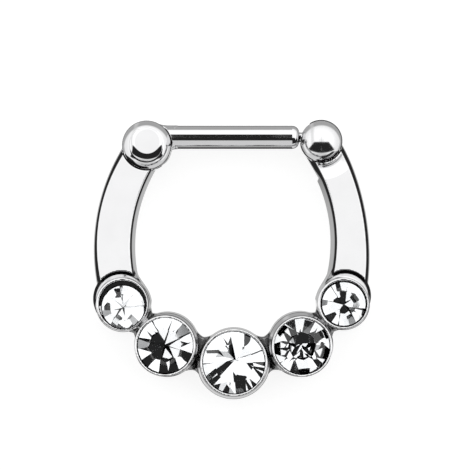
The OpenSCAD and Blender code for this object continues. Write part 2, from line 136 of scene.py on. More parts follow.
# Cut of each stone: share of the table, angle of the crown and the pavilion, sides of the pavilion,
# where its first side lies as a share of a side, how unevenly it is ground and the seed for that,
# turn about its own axis, lean and direction of the lean. Angles are in degrees.
CUTS = [
    dict(name="stone_left_outer", node="gem_left_outer",
         table=0.675, crown=29.9, pavilion=43.0, sides=8, first=0.5, uneven=2.05, seed=5327,
         spin=6.0, lean=3.4, towards=15),
    dict(name="stone_left_inner", node="gem_left_inner",
         table=0.635, crown=40.4, pavilion=45.5, sides=8, first=0.5, uneven=1.52, seed=57771,
         spin=29.2, lean=2.5, towards=84),
    dict(name="stone_center", node="gem_center",
         table=0.680, crown=20.2, pavilion=48.0, sides=16, first=0.0, uneven=1.90, seed=49370,
         spin=13.2, lean=0.1, towards=259),
    dict(name="stone_right_inner", node="gem_right_inner",
         table=0.555, crown=26.3, pavilion=40.9, sides=16, first=0.0, uneven=2.08, seed=91757,
         spin=27.4, lean=4.2, towards=91),
    dict(name="stone_right_outer", node="gem_right_outer",
         table=0.622, crown=20.8, pavilion=44.6, sides=8, first=0.5, uneven=1.47, seed=598,
         spin=33.4, lean=5.8, towards=108),
]
for cup, stone in zip(CUPS, CUTS):
    cup["cut"] = stone
GIRDLE_SHARE = 0.12
# Seat: gap round the stone, width of its ledge, free height under the point, and by how much its
# cone is steeper than the stone's back
SEAT_GAP, SEAT_LEDGE, SEAT_ROOM, SEAT_STEEPER = 0.03, 0.15, 0.1, math.radians(8)
SEAT_LAP = 0.05
CROWN_SIDES = 8
GIRDLE_SIDES = 32


def crown_height(cup):
    stone = cup["cut"]
    return cup["stone_r"] * (1 - stone["table"]) * math.tan(math.radians(stone["crown"]))


def girdle_z(cup):
    return cup["top"] - crown_height(cup) - GIRDLE_SHARE * cup["stone_r"] / 2


# ---------------------------------------------------------------- distance fields


def cut(a, b, r):
    """Intersection of two fields with a rounded edge."""
    return np.minimum(np.maximum(a, b), -r) + np.hypot(np.maximum(a + r, 0), np.maximum(b + r, 0))


def join(a, b, r):
    """Union of two fields with a rounded hollow between them."""
    return np.maximum(np.minimum(a, b), r) - np.hypot(np.maximum(r - a, 0), np.maximum(r - b, 0))


def to(x, y, cx, cy):
    return np.hypot(x - cx, y - cy)


def groove_field(ring, x, y, z):
    """Sink with a bevelled edge that parts an arm's flat face from the round piece at its end."""
    rho = to(x, y, *ring[:2])
    bevel = (rho - ring[2] - z + ring[4]) * math.sqrt(0.5)
    bevel = np.maximum(bevel, ring[4] - ring[3] - z)
    return np.minimum(bevel, np.maximum(rho - ring[2] + ring[3], GROOVE_FLOOR - z))


def arm_field(arm, x, y, z):
    ox, oy, outer_r = at_height(ARM_OUT_Z, *arm["out"])
    fx, fy, face_r = at_height(ARM_TOP, *arm["face_out"])
    gx, gy, inner_face_r = at_height(ARM_TOP, *arm["face_in"])
    ix, iy, inner_back_r = at_height(BACK_BEVEL, *arm["inner"])
    wall = to(x, y, ox, oy) - outer_r
    face = z - ARM_TOP
    if arm["side"] > 0:
        dish = np.maximum(DISH_R - to(x, y, *BALL[:2]), 0)
        dish = dish * dish / (dish + DISH_SOFT) * math.tan(DISH_SLOPE)
        face = face + np.minimum(dish, DISH_DEPTH)
    band = (to(x, y, fx, fy) - face_r) * math.sin(BAND) + face * math.cos(BAND)
    t = np.clip((z - BACK_BEVEL) / (ARM_TOP - BACK_BEVEL), 0, 1)
    at_face = inner_face_r - arm["line"] - to(x, y, gx, gy)
    hole = (1 - t) * (inner_back_r - to(x, y, ix, iy)) + t * at_face
    edge = (inner_face_r - to(x, y, gx, gy)) * math.sin(BAND) + face * math.cos(BAND)
    d = cut(wall, band, EDGE_SOFT)
    d = cut(d, cut(hole, edge, EDGE), EDGE)
    d = cut(d, face, EDGE_CRISP)
    for ring in arm["grooves"]:
        d = cut(d, -groove_field(ring, x, y, z), EDGE_CRISP)
    d = cut(d, -z, BACK_BEVEL)
    # the end at the hinge or ball, and the foot inside the cup
    a = math.radians(arm["turn"] - 90)
    ex, ey = arm["end"]
    u = (x - ex) * math.cos(a) + (y - ey) * math.sin(a)
    v = -(x - ex) * math.sin(a) + (y - ey) * math.cos(a)
    side = arm["side"]
    inside = -side * u - arm["half"]
    lean = inside * CORNER_LEAN[0] + (v + CORNER_DEPTH) * CORNER_LEAN[1]
    d = np.maximum(d, v)
    d = np.maximum(d, np.minimum(inside, lean))
    d = np.maximum(d, ARM_FOOT - y)
    return np.maximum(d, -side * x)


def cup_field(cup, x, y, z):
    wall = to(x, y, *cup["body"]) - cup["body_r"]
    if "flat" in cup:
        fx, fy, r = cup["flat"]
        wall = cut(wall, to(x, y, fx, fy) - r, FLAT_EDGE)
    slope = wall * math.sin(BODY_SLOPE) + (z - cup["slope_z"]) * math.cos(BODY_SLOPE)
    body = cut(cut(wall, slope, EDGE), z - CUP_TOP + BODY_DROP, EDGE_CRISP)
    rim = cut(to(x, y, *cup["at"]) - cup["rim"], z - CUP_TOP, EDGE)
    d = join(body, rim, RIM_HOLLOW)
    if "collar" in cup:
        cx, cy, r = cup["collar"]
        fall = np.clip((COLLAR_TOP - z) / (COLLAR_TOP - COLLAR_FROM), 0, 1)
        outward = np.clip((x - cx) * math.copysign(2, cx) / r, 0, 1)
        collar = to(x, y, cx, cy) - r - COLLAR_LEAN * fall * outward
        top = (to(x, y, cx, cy) - r + z - COLLAR_TOP) * math.sqrt(0.5)
        top = cut(top, z - COLLAR_CAP, EDGE)
        d = join(d, np.maximum(cut(collar, top, EDGE_CRISP), COLLAR_FLOOR - z), RIM_HOLLOW)
    return cut(d, -z, BACK_BEVEL)


def bore_field(cup, x, y, z):
    """Bore down to the girdle, then the stone's own seat, a ledge and a cone under its back."""
    stone, r = cup["cut"], cup["stone_r"]
    middle = girdle_z(cup)
    pavilion = math.radians(stone["pavilion"])
    girdle = GIRDLE_SHARE * r / 2
    swing = r * math.sin(math.radians(stone["lean"]))
    ledge = middle - girdle - SEAT_LEDGE * math.tan(pavilion) - swing - SEAT_GAP
    bottom = middle - girdle - r * math.tan(pavilion) - SEAT_ROOM
    bx, by, br = cup["bore"]
    bore = np.maximum(to(x, y, bx, by) - br, middle - z)
    rho = to(x, y, *cup["stone"])
    seat = np.maximum(rho - r - SEAT_GAP, ledge - z)
    steep = pavilion + SEAT_STEEPER
    cone = (rho - r + SEAT_LEDGE) * math.sin(steep) + (ledge - z) * math.cos(steep)
    cone = np.maximum(np.maximum(cone, z - ledge - SEAT_LAP), bottom - z)
    return np.minimum(np.minimum(bore, seat), cone)


def web_middle(web):
    """Middle of a web and its direction."""
    a, b = CUPS[web[0]], CUPS[web[1]]
    (ax, ay), (bx, by) = a["body"], b["body"]
    n = math.hypot(bx - ax, by - ay)
    dx, dy = (bx - ax) / n, (by - ay) / n
    mid = (a["body_r"] + n - b["body_r"]) / 2
    return ax + mid * dx, ay + mid * dy, dx, dy


def web_field(web, x, y, z):
    mx, my, dx, dy = web_middle(web)
    u = (x - mx) * dx + (y - my) * dy
    v = -(x - mx) * dy + (y - my) * dx + web[3]
    d = cut(np.abs(v) - web[2], np.abs(u) - WEB_HALF_LENGTH, EDGE)
    d = cut(d, z - WEB_TOP, EDGE_SOFT)
    return cut(d, -z, BACK_BEVEL)


def knuckle_field(x, y, z):
    rho = to(x, y, *HINGE)
    d = z - PIN_HEAD_Z + PIN_GAP
    for r, height, degrees in CHEEK_SLOPES:
        a = math.radians(degrees)
        d = cut((rho - r) * math.sin(a) + (z - height) * math.cos(a), d, EDGE)
    d = cut(rho - CHEEK_R, d, EDGE_CRISP)
    return cut(d, -z, BACK_BEVEL)


def pin_field(x, y, z):
    rho = to(x, y, *HINGE)
    top = cut(to(x, y, *HEAD_MIDDLE) - HEAD_FLAT_R - HEAD_SHOULDER, z - PIN_TOP, HEAD_SHOULDER)
    head = cut(top, np.maximum(rho - PIN_HEAD_R, PIN_HEAD_Z - z), HEAD_EDGE)
    shank = np.maximum(rho - PIN_R, z - PIN_HEAD_Z - PIN_LAP)
    tail = cut(cut(rho - RIVET_R, RIVET_RECESS - z, RIVET_EDGE), z - RIVET_DEPTH, RIVET_BACK_EDGE)
    return np.minimum(np.minimum(head, np.maximum(shank, RIVET_RECESS - z)), tail)


def frame_field(x, y, z):
    arms = np.minimum(arm_field(ARMS[0], x, y, z), arm_field(ARMS[1], x, y, z))
    cups = cup_field(CUPS[0], x, y, z)
    for cup in CUPS[1:]:
        cups = join(cups, cup_field(cup, x, y, z), CUP_HOLLOW)
    for web in WEBS:
        cups = join(cups, web_field(web, x, y, z), WEB_HOLLOW)
    # the arms run into the cups with a wide hollow at their walls and a sharp corner on their face
    inner = np.clip((HOLLOW_X - np.abs(x)) / HOLLOW_FADE, HOLLOW_LEFT[0], 1)
    low = np.clip((HOLLOW_Z - z) / HOLLOW_FADE, HOLLOW_LEFT[1], 1)
    d = join(arms, cups, ARM_HOLLOW * low * inner)
    ball = np.sqrt((x - BALL[0]) ** 2 + (y - BALL[1]) ** 2 + (z - BALL[2]) ** 2) - BALL_R
    collar = cut(to(x, y, *BALL[:2]) - COLLAR_R, z - BALL_COLLAR_TOP, BALL_COLLAR_EDGE)
    collar = cut(collar, -z, BACK_BEVEL)
    d = join(np.minimum(d, collar), ball, SOLDER_HOLLOW)
    d = join(d, knuckle_field(x, y, z), SOLDER_HOLLOW)
    for cup in CUPS:
        d = cut(d, -bore_field(cup, x, y, z), BORE_EDGE)
    # slot for the eye, hole for the pin and its riveted end, path of the nub
    rho = to(x, y, *HINGE)
    half = EYE_HALF + EYE_PLAY
    slot = np.maximum(rho - CHEEK_R - EYE_RIM_GAP, np.abs(z - MID_Z) - half)
    d = cut(d, -slot, EDGE_CRISP)
    d = np.maximum(d, PIN_R + PIN_GAP - rho)
    d = np.maximum(d, -np.maximum(rho - RIVET_R - PIN_GAP, z - RIVET_DEPTH - PIN_GAP))
    reach = math.hypot(BAR_END - HINGE[0], BAR_Y - HINGE[1])
    angle = np.degrees(np.arctan2(y - HINGE[1], x - HINGE[0]))
    nub = np.maximum(rho - reach - NUB_LENGTH - SLOT_ROOM, np.abs(z - MID_Z) - SLOT_HALF)
    nub = np.maximum(nub, (SLOT_FROM - angle) * SLOT_PER_DEGREE)
    nub = np.maximum(nub, NUB_FROM - x)
    return cut(d, -nub, BORE_EDGE)


def bar_field(x, y, z):
    h = z - MID_Z
    rho = np.hypot(y - BAR_Y, h)
    start = HINGE[0] + CHEEK_R + EYE_RIM_GAP
    shank = cut(rho - BAR_R, x - BAR_END, BAR_ROUND)
    shank = cut(shank, CHEEK_R + SHANK_GAP - to(x, y, *HINGE), SHANK_EDGE)
    shank = np.maximum(shank, HINGE[0] - x)
    disc = to(x, y, *HINGE) - EYE_R
    slab = np.maximum(np.abs(y - BAR_Y) - BAR_R + TONGUE_INSET, HINGE[0] - x)
    slab = np.maximum(slab, x - start - TONGUE_LAP)
    flat = join(disc, slab, TONGUE_HOLLOW)
    flat = cut(flat, np.abs(h) - EYE_HALF, EYE_EDGE)
    d = join(shank, flat, SHANK_HOLLOW)
    nub = cut(rho - NUB_R, x - BAR_END - NUB_LENGTH, NUB_EDGE)
    nub = np.maximum(nub, NUB_FROM - x)
    d = join(d, nub, BORE_EDGE)
    return np.maximum(d, PIN_R + EYE_BORE_PLAY - to(x, y, *HINGE))


# ---------------------------------------------------------------- meshes from fields
# Step over the slit and how quickly it fades away from it, as directions that are mirrored
SLIT_STEP, SLIT_FADE = 0.06, 0.3
# Least slope against the view that a bend is worked out for
LEAST_FACING = 0.2
# Reach of the slope's measure, longest move of a point in one round and least squared slope
SLOPE_REACH, LONGEST_MOVE, LEAST_SLOPE = 0.004, 0.05, 0.2
# Layers of cells that are worked out at a time
BLOCK = 16


def gradient(field, p, h=SLOPE_REACH):
    g = np.empty_like(p)
    for i in range(3):
        step = np.zeros(3)
        step[i] = h
        g[:, i] = (field(*(p + step).T) - field(*(p - step).T)) / (2 * h)
    return g


def settle(field, p, rounds):
    """Moves points onto the field's surface."""
    for _ in range(rounds):
        g = gradient(field, p)
        f = field(*p.T)
        move = f[:, None] * g / np.maximum((g * g).sum(1), LEAST_SLOPE)[:, None]
        p = p - np.clip(move, -LONGEST_MOVE, LONGEST_MOVE)
    return p


def surface(field, low, high, cell):
    """Quads of the surface where the field is zero."""
    counts = [int(math.ceil((b - a) / cell)) + 1 for a, b in zip(low, high)]
    axes = [a + cell * np.arange(n) for a, n in zip(low, counts)]
    values = np.empty(counts, np.float32)
    for i in range(0, counts[0], BLOCK):
        x, y, z = np.meshgrid(axes[0][i:i + BLOCK], axes[1], axes[2], indexing="ij")
        values[i:i + BLOCK] = field(x, y, z)
    inside = values < 0
    nx, ny, nz = counts
    cells, points, quads = [], [], []
    for axis in range(3):
        first = [slice(None)] * 3
        second = [slice(None)] * 3
        first[axis] = slice(0, -1)
        second[axis] = slice(1, None)
        a, b = inside[tuple(first)], inside[tuple(second)]
        index = np.argwhere(a != b)
        others = [k for k in range(3) if k != axis]
        keep = np.ones(len(index), bool)
        for k in others:
            keep &= (index[:, k] > 0) & (index[:, k] < counts[k] - 1)
        index = index[keep]
        end = index.copy()
        end[:, axis] += 1
        fa = values[tuple(index.T)].astype(np.float64)
        fb = values[tuple(end.T)].astype(np.float64)
        place = index.astype(np.float64)
        place[:, axis] += fa / (fa - fb)
        ring = []
        for du, dv in ((-1, -1), (0, -1), (0, 0), (-1, 0)):
            c = index.copy()
            c[:, others[0]] += du
            c[:, others[1]] += dv
            ring.append((c[:, 0] * ny + c[:, 1]) * nz + c[:, 2])
        ring = np.array(ring).T
        flip = (fa < 0) != (axis != 1)
        ring[flip] = ring[flip][:, ::-1]
        quads.append(ring)
        for k in range(4):
            cells.append(ring[:, k])
            points.append(place)
    cells = np.concatenate(cells)
    points = np.concatenate(points)
    names, which = np.unique(cells, return_inverse=True)
    total = np.bincount(which, minlength=len(names)).astype(np.float64)
    vertices = np.stack([np.bincount(which, points[:, k], len(names)) / total for k in range(3)], 1)
    vertices = vertices * cell + np.array(low)
    faces = np.searchsorted(names, np.concatenate(quads))
    return vertices, faces


def new_object(name, vertices, faces, material):
    mesh = bpy.data.meshes.new(name)
    mesh.from_pydata([tuple(v) for v in vertices * MM], [], [tuple(f) for f in faces])
    mesh.update()
    mesh.materials.append(material)
    obj = bpy.data.objects.new(name, mesh)
    bpy.context.scene.collection.objects.link(obj)
    return obj


def field_object(name, field, low, high, cell, most, material, mirrors_slit=False):
    """A piece made from a field: meshed, thinned where it is flat, and shaded by the field's own slope."""
    vertices, faces = surface(field, low, high, cell)
    vertices = settle(field, vertices, 3)
    obj = new_object(name, vertices, faces, material)
    triangles = 2 * len(faces)
    if triangles > most:
        thin = obj.modifiers.new("thin", "DECIMATE")
        thin.ratio = most / triangles
        graph = bpy.context.evaluated_depsgraph_get()
        shaped = bpy.data.meshes.new_from_object(obj.evaluated_get(graph))
        obj.modifiers.remove(thin)
        old = obj.data
        obj.data = shaped
        bpy.data.meshes.remove(old)
        shaped.name = name
    mesh = obj.data
    p = np.empty(len(mesh.vertices) * 3)
    mesh.vertices.foreach_get("co", p)
    p = settle(field, p.reshape(-1, 3) / MM, 2)
    mesh.vertices.foreach_set("co", (p * MM).ravel())
    mesh.polygons.foreach_set("use_smooth", np.ones(len(mesh.polygons), bool))
    mesh.update()
    g = gradient(field, p)
    g /= np.maximum(np.linalg.norm(g, axis=1), 1e-9)[:, None]
    corner = np.empty(len(mesh.loops), np.int64)
    mesh.loops.foreach_get("vertex_index", corner)
    normals = g[corner] if mirrors_slit else step_over_slit(mesh, p[corner], g[corner])
    mesh.normals_split_custom_set([tuple(n) for n in normals])
    return obj


def step_over_slit(mesh, p, n):
    """Normals bent apart where they would mirror the studio's slit.

    The slit is there for the straight bar. On every other piece it would draw a hair line in the
    photograph's view, so the bend is worked out for that view and stays in the mesh for all others.
    """
    view = np.stack([AXIS_X - p[:, 0], AXIS_Y - p[:, 1], np.full(len(p), VIEW_DISTANCE)], 1)
    view = view / VIEW_DISTANCE
    facing = (n * view).sum(1)
    across = 2 * facing * n[:, 0] - view[:, 0]
    starts = np.empty(len(mesh.polygons), np.int64)
    totals = np.empty(len(mesh.polygons), np.int64)
    mesh.polygons.foreach_get("loop_start", starts)
    mesh.polygons.foreach_get("loop_total", totals)
    side = np.repeat(np.sign(np.add.reduceat(across, starts)), totals)
    wanted = side * (np.maximum(side * across, 0) + SLIT_STEP * np.exp(-(across / SLIT_FADE) ** 2))
    bent = n.copy()
    bent[:, 0] += (wanted - across) / (2 * np.maximum(facing, LEAST_FACING))
    return bent / np.linalg.norm(bent, axis=1)[:, None]


# ---------------------------------------------------------------- materials


def node_material(name):
    material = bpy.data.materials.new(name)
    material.use_nodes = True
    tree = material.node_tree
    return material, tree, tree.nodes["Principled BSDF"]


def feed(tree, socket, value):
    """Gives a socket a number or the output of another node."""
    if isinstance(value, (int, float)):
        socket.default_value = value
    else:
        tree.links.new(value, socket)


def math_node(tree, kind, *values):
    node = tree.nodes.new("ShaderNodeMath")
    node.operation = kind
    for socket, value in zip(node.inputs, values):
        feed(tree, socket, value)
    return node.outputs[0]


def grain_node(tree, scale, detail=2):
    """Noise laid over the object, and the node that places it."""
    place = tree.nodes.new("ShaderNodeTexCoord")
    grain = tree.nodes.new("ShaderNodeTexNoise")
    grain.inputs["Scale"].default_value = scale
    grain.inputs["Detail"].default_value = detail
    tree.links.new(place.outputs["Object"], grain.inputs["Vector"])
    return place, grain


def two_tones(tree, share, dark, pale):
    """Colour between two by a share."""
    node = tree.nodes.new("ShaderNodeMix")
    node.data_type = "RGBA"
    node.inputs["A"].default_value = (*dark, 1)
    node.inputs["B"].default_value = (*pale, 1)
    tree.links.new(share, node.inputs["Factor"])
    return node.outputs["Result"]


# Steel: its tones, roughness, how much rougher the ball is, the nearly black tarnish and painted shade of its
# hollows, and its share on the webs
STEEL_TONES = ((0.62, 0.62, 0.625), (0.68, 0.68, 0.685))
STEEL_ROUGH, BALL_ROUGHER = (0.025, 0.06), 0.08
TARNISH_AND_SHADE, WEB_TARNISH_AND_SHADE = (0.012, 0.012, 0.012, 1), 0.72
# Polishing marks: how they are stretched and turned, their strength and depth in metres
MARKS_SCALE, MARKS_TURN = (9000, 1200, 2500), (0.2, 0.4, 0.7)
MARKS_STRENGTH, MARKS_DEPTH = 0.003, 0.00002
# Where the tarnish and painted shade begins in the bores and on the webs, and where it ends on the webs
TARNISH_AND_SHADE_FROM, WEB_TARNISH_AND_SHADE_TO = 0.5, 1.98
GLASS_TONE, GLASS_IOR, GLASS_ROUGH = (0.99, 0.995, 1, 1), 1.55, 0.012
FOIL_TONES, FOIL_ROUGH = ((0.85, 0.855, 0.86), (0.91, 0.915, 0.92)), 0.02
FLOOR_TONES, FLOOR_ROUGH, FLOOR_GLOW = ((0.24, 0.24, 0.24), (0.26, 0.26, 0.26)), 0.9, 0.84


def steel_material():
    """Mirror-polished steel with a faint haze and hair-fine polishing marks."""
    material, tree, shader = node_material("polished_steel")
    new, link = tree.nodes.new, tree.links.new

    def do(kind, *values):
        return math_node(tree, kind, *values)

    place, haze = grain_node(tree, 900, 3)
    marks_map = new("ShaderNodeMapping")
    marks_map.inputs["Scale"].default_value = MARKS_SCALE
    marks_map.inputs["Rotation"].default_value = MARKS_TURN
    link(place.outputs["Object"], marks_map.inputs["Vector"])
    marks = new("ShaderNodeTexNoise")
    marks.inputs["Scale"].default_value = 1
    marks.inputs["Detail"].default_value = 2
    link(marks_map.outputs["Vector"], marks.inputs["Vector"])
    tone = new("ShaderNodeMapRange")
    tone.inputs["From Min"].default_value = 0.3
    tone.inputs["From Max"].default_value = 0.7
    tone.inputs["To Min"].default_value = STEEL_ROUGH[0]
    tone.inputs["To Max"].default_value = STEEL_ROUGH[1]
    link(haze.outputs["Fac"], tone.inputs["Value"])
    # the ball is polished less than the rest
    from_ball = new("ShaderNodeVectorMath")
    from_ball.operation = "DISTANCE"
    from_ball.inputs[1].default_value = tuple(v * MM for v in BALL)
    link(place.outputs["Object"], from_ball.inputs[0])
    on_ball = new("ShaderNodeMapRange")
    on_ball.inputs["From Min"].default_value = (BALL_R + 0.12) * MM
    on_ball.inputs["From Max"].default_value = (BALL_R + 0.02) * MM
    on_ball.inputs["To Max"].default_value = BALL_ROUGHER
    link(from_ball.outputs["Value"], on_ball.inputs["Value"])
    rough = do("ADD", tone.outputs["Result"], on_ball.outputs["Result"])
    link(rough, shader.inputs["Roughness"])
    colour = two_tones(tree, haze.outputs["Fac"], *STEEL_TONES)
    # tarnish and painted shade, nearly black, where shade falls: in the sinks at the arms' ends, inside the
    # settings and on the webs
    flat = new("ShaderNodeVectorMath")
    flat.operation = "MULTIPLY"
    link(place.outputs["Object"], flat.inputs[0])
    flat.inputs[1].default_value = (1, 1, 0)
    height = new("ShaderNodeSeparateXYZ")
    link(place.outputs["Object"], height.inputs["Vector"])
    up = height.outputs["Z"]

    def within(cx, cy, low, high, z_low, z_high):
        away = new("ShaderNodeVectorMath")
        away.operation = "DISTANCE"
        link(flat.outputs["Vector"], away.inputs[0])
        away.inputs[1].default_value = (cx * MM, cy * MM, 0)
        round_it = do("COMPARE", away.outputs["Value"], (low + high) / 2 * MM, (high - low) / 2 * MM)
        level = do("COMPARE", up, (z_low + z_high) / 2 * MM, (z_high - z_low) / 2 * MM)
        return do("MULTIPLY", round_it, level)

    tarnish_and_shade_mask = 0.0
    # painted shade in the sinks round the hinge, the ball and the outer cups
    for cx, cy, ring_r, width, face_z in ARMS[0]["grooves"] + ARMS[1]["grooves"]:
        tarnish_and_shade_mask = do("MAXIMUM", tarnish_and_shade_mask, within(cx, cy, ring_r - width - 0.02, ring_r + 0.005,
                                          face_z - width - 0.1, face_z - 0.003))
    # painted shade on the bores' walls, from a set height up to the bodies' top
    for cup in CUPS:
        bx, by, br = cup["bore"]
        bore = within(bx, by, 0, br + 0.015, TARNISH_AND_SHADE_FROM, CUP_TOP - BODY_DROP)
        shade_reach = do("GREATER_THAN", height.outputs["Y"], (by - cup.get("shade_reach", 9)) * MM)
        tarnish_and_shade_mask = do("MAXIMUM", tarnish_and_shade_mask, do("MULTIPLY", bore, shade_reach))
    # painted shade on the webs, at part strength
    for web in WEBS:
        wx, wy = web_middle(web)[:2]
        near = within(wx, wy, 0, web[2] + 0.15, TARNISH_AND_SHADE_FROM, WEB_TARNISH_AND_SHADE_TO)
        tarnish_and_shade_mask = do("MAXIMUM", tarnish_and_shade_mask, do("MULTIPLY", near, WEB_TARNISH_AND_SHADE))
    # the painted shade darkens the steel's colour towards nearly black
    tarnish_and_shade_mix = new("ShaderNodeMix")
    tarnish_and_shade_mix.data_type = "RGBA"
    tarnish_and_shade_mix.inputs["B"].default_value = TARNISH_AND_SHADE
    link(tarnish_and_shade_mask, tarnish_and_shade_mix.inputs["Factor"])
    link(colour, tarnish_and_shade_mix.inputs["A"])
    link(tarnish_and_shade_mix.outputs["Result"], shader.inputs["Base Color"])
    bump = new("ShaderNodeBump")
    bump.inputs["Strength"].default_value = MARKS_STRENGTH
    bump.inputs["Distance"].default_value = MARKS_DEPTH
    link(marks.outputs["Fac"], bump.inputs["Height"])
    link(bump.outputs["Normal"], shader.inputs["Normal"])
    shader.inputs["Metallic"].default_value = 1
    return material


def crystal_material():
    """Clear cut glass, seen through the table and the crown."""
    material, tree, shader = node_material("clear_crystal")
    film = grain_node(tree, 1500)[1]
    tone = tree.nodes.new("ShaderNodeMapRange")
    tone.inputs["To Min"].default_value = 0.0
    tone.inputs["To Max"].default_value = GLASS_ROUGH
    tree.links.new(film.outputs["Fac"], tone.inputs["Value"])
    tree.links.new(tone.outputs["Result"], shader.inputs["Roughness"])
    shader.inputs["Base Color"].default_value = GLASS_TONE
    shader.inputs["Transmission Weight"].default_value = 1
    shader.inputs["IOR"].default_value = GLASS_IOR
    return material


def foil_material():
    """Silvered back of the stone."""
    material, tree, shader = node_material("silvered_back")
    grain = grain_node(tree, 2500)[1]
    tree.links.new(two_tones(tree, grain.outputs["Fac"], *FOIL_TONES), shader.inputs["Base Color"])
    shader.inputs["Metallic"].default_value = 1
    shader.inputs["Roughness"].default_value = FOIL_ROUGH
    return material


def floor_material():
    material, tree, shader = node_material("pale_floor")
    grain = grain_node(tree, 400)[1]
    tree.links.new(two_tones(tree, grain.outputs["Fac"], *FLOOR_TONES), shader.inputs["Base Color"])
    shader.inputs["Roughness"].default_value = FLOOR_ROUGH
    shader.inputs["Specular IOR Level"].default_value = 0
    shader.inputs["Emission Color"].default_value = (1, 1, 1, 1)
    shader.inputs["Emission Strength"].default_value = FLOOR_GLOW
    return material


steel = steel_material()
crystal = crystal_material()
foil = foil_material()

# ---------------------------------------------------------------- metal pieces
FRAME_CELL = 0.05
BAR_CELL = 0.03
PIN_CELL = 0.025

casting = field_object(
    "casting", frame_field, (-7.6, -7.5, -0.15), (7.5, 7.5, 2.65), FRAME_CELL, 190000, steel)
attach(casting, "ring")
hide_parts("frame")

clicker_bar = field_object(
    "clicker_bar", bar_field, (-5.9, 4.5, 0.5), (4.1, 7.3, 2.0), BAR_CELL, 90000, steel, True)
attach(clicker_bar, "bar")
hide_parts("bar")

rivet = field_object(
    "rivet", pin_field, (-5.5, 4.88, -0.1), (-3.5, 6.88, 2.85), PIN_CELL, 60000, steel)
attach(rivet, "ring")
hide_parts("hinge_pin")

# ---------------------------------------------------------------- stones


def clip(corners, n, d):
    """Part of a polygon that lies below a plane."""
    kept = []
    for a, b in zip([corners[-1]] + corners[:-1], corners):
        over_a, over_b = a @ n - d, b @ n - d
        if (over_a <= 0) != (over_b <= 0):
            kept.append(a + (b - a) * (over_a / (over_a - over_b)))
        if over_b <= 0:
            kept.append(b)
    return kept


def leaning_plane(turn, tilt, reach, z, up):
    """Plane through a point at a reach and height, leaning by a tilt from level."""
    n = np.array([math.cos(turn) * math.sin(tilt), math.sin(turn) * math.sin(tilt), up * math.cos(tilt)])
    return n, float(n @ [math.cos(turn) * reach, math.sin(turn) * reach, z])


def stone_planes(cup):
    """Planes of a stone about its girdle: table, crown and girdle first, then the silvered back."""
    stone, r = cup["cut"], cup["stone_r"]
    rise = GIRDLE_SHARE * r / 2
    front = [(np.array([0, 0, 1.0]), rise + crown_height(cup))]
    for i in range(CROWN_SIDES):
        front.append(leaning_plane(2 * math.pi * i / CROWN_SIDES, math.radians(stone["crown"]),
                                   r * math.cos(math.pi / CROWN_SIDES), rise, 1))
    for i in range(GIRDLE_SIDES):
        a = 2 * math.pi * (i + 0.5) / GIRDLE_SIDES
        front.append((np.array([math.cos(a), math.sin(a), 0]), r * math.cos(math.pi / GIRDLE_SIDES)))
    sides = stone["sides"]
    chance = np.random.default_rng(stone["seed"])
    turns, tilts = chance.normal(size=(2, sides)) * math.radians(stone["uneven"])
    back = []
    for i in range(sides):
        back.append(leaning_plane(2 * math.pi * (i + stone["first"]) / sides + turns[i],
                                  math.radians(stone["pavilion"]) + tilts[i],
                                  r * math.cos(math.pi / sides), -rise, -1))
    return front, back


def cut_stone(cup):
    """Corners and faces of the solid inside a stone's planes, and how many faces its front has."""
    front, back = stone_planes(cup)
    planes = front + back
    size = 3 * cup["stone_r"]
    corners, faces, front_faces = [], [], 0
    for i, (n, d) in enumerate(planes):
        u = np.cross(n, [0.3, 0.8, 0.52])
        u /= np.linalg.norm(u)
        v = np.cross(n, u)
        face = [n * d + size * (a * u + b * v) for a, b in ((-1, -1), (1, -1), (1, 1), (-1, 1))]
        for j, plane in enumerate(planes):
            if j != i and face:
                face = clip(face, *plane)
        if len(face) < 3:
            continue
        ring = []
        for corner in face:
            near = [k for k, other in enumerate(corners) if np.abs(other - corner).max() < 1e-5]
            if not near:
                near = [len(corners)]
                corners.append(corner)
            if near[0] not in ring:
                ring.append(near[0])
        if len(ring) > 2:
            faces.append(tuple(ring))
            front_faces += i < len(front)
    return np.array(corners), faces, front_faces


def turn_matrix(spin, lean, towards):
    def about_z(a):
        return np.array([[math.cos(a), -math.sin(a), 0], [math.sin(a), math.cos(a), 0], [0, 0, 1]])

    tip = np.array([[math.cos(lean), 0, math.sin(lean)], [0, 1, 0], [-math.sin(lean), 0, math.cos(lean)]])
    return about_z(towards) @ tip @ about_z(spin - towards)


for cup in CUPS:
    stone = cup["cut"]
    corners, faces, front_faces = cut_stone(cup)
    turn = turn_matrix(*(math.radians(stone[key]) for key in ("spin", "lean", "towards")))
    corners = corners @ turn.T + np.array([*cup["stone"], girdle_z(cup)])
    obj = new_object(stone["name"], corners, faces, crystal)
    obj.data.materials.append(foil)
    for i in range(front_faces, len(faces)):
        obj.data.polygons[i].material_index = 1
    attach(obj, "ring")
    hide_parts(stone["node"])

# ---------------------------------------------------------------- floor, light and camera
FLOOR_REACH = 400
floor_corners = np.array([(-1, -1, 0), (1, -1, 0), (1, 1, 0), (-1, 1, 0)], float) * FLOOR_REACH
floor = new_object("floor", floor_corners, [(0, 1, 2, 3)], floor_material())
floor.visible_glossy = False
floor.visible_transmission = False

# Strengths of the tent
WHITE, FACE_WHITE, SOFT_WHITE, PALE_GREY, GREY, DIM, DARK = 1.62, 1.39, 1.25, 0.9, 0.55, 0.2, 0.025
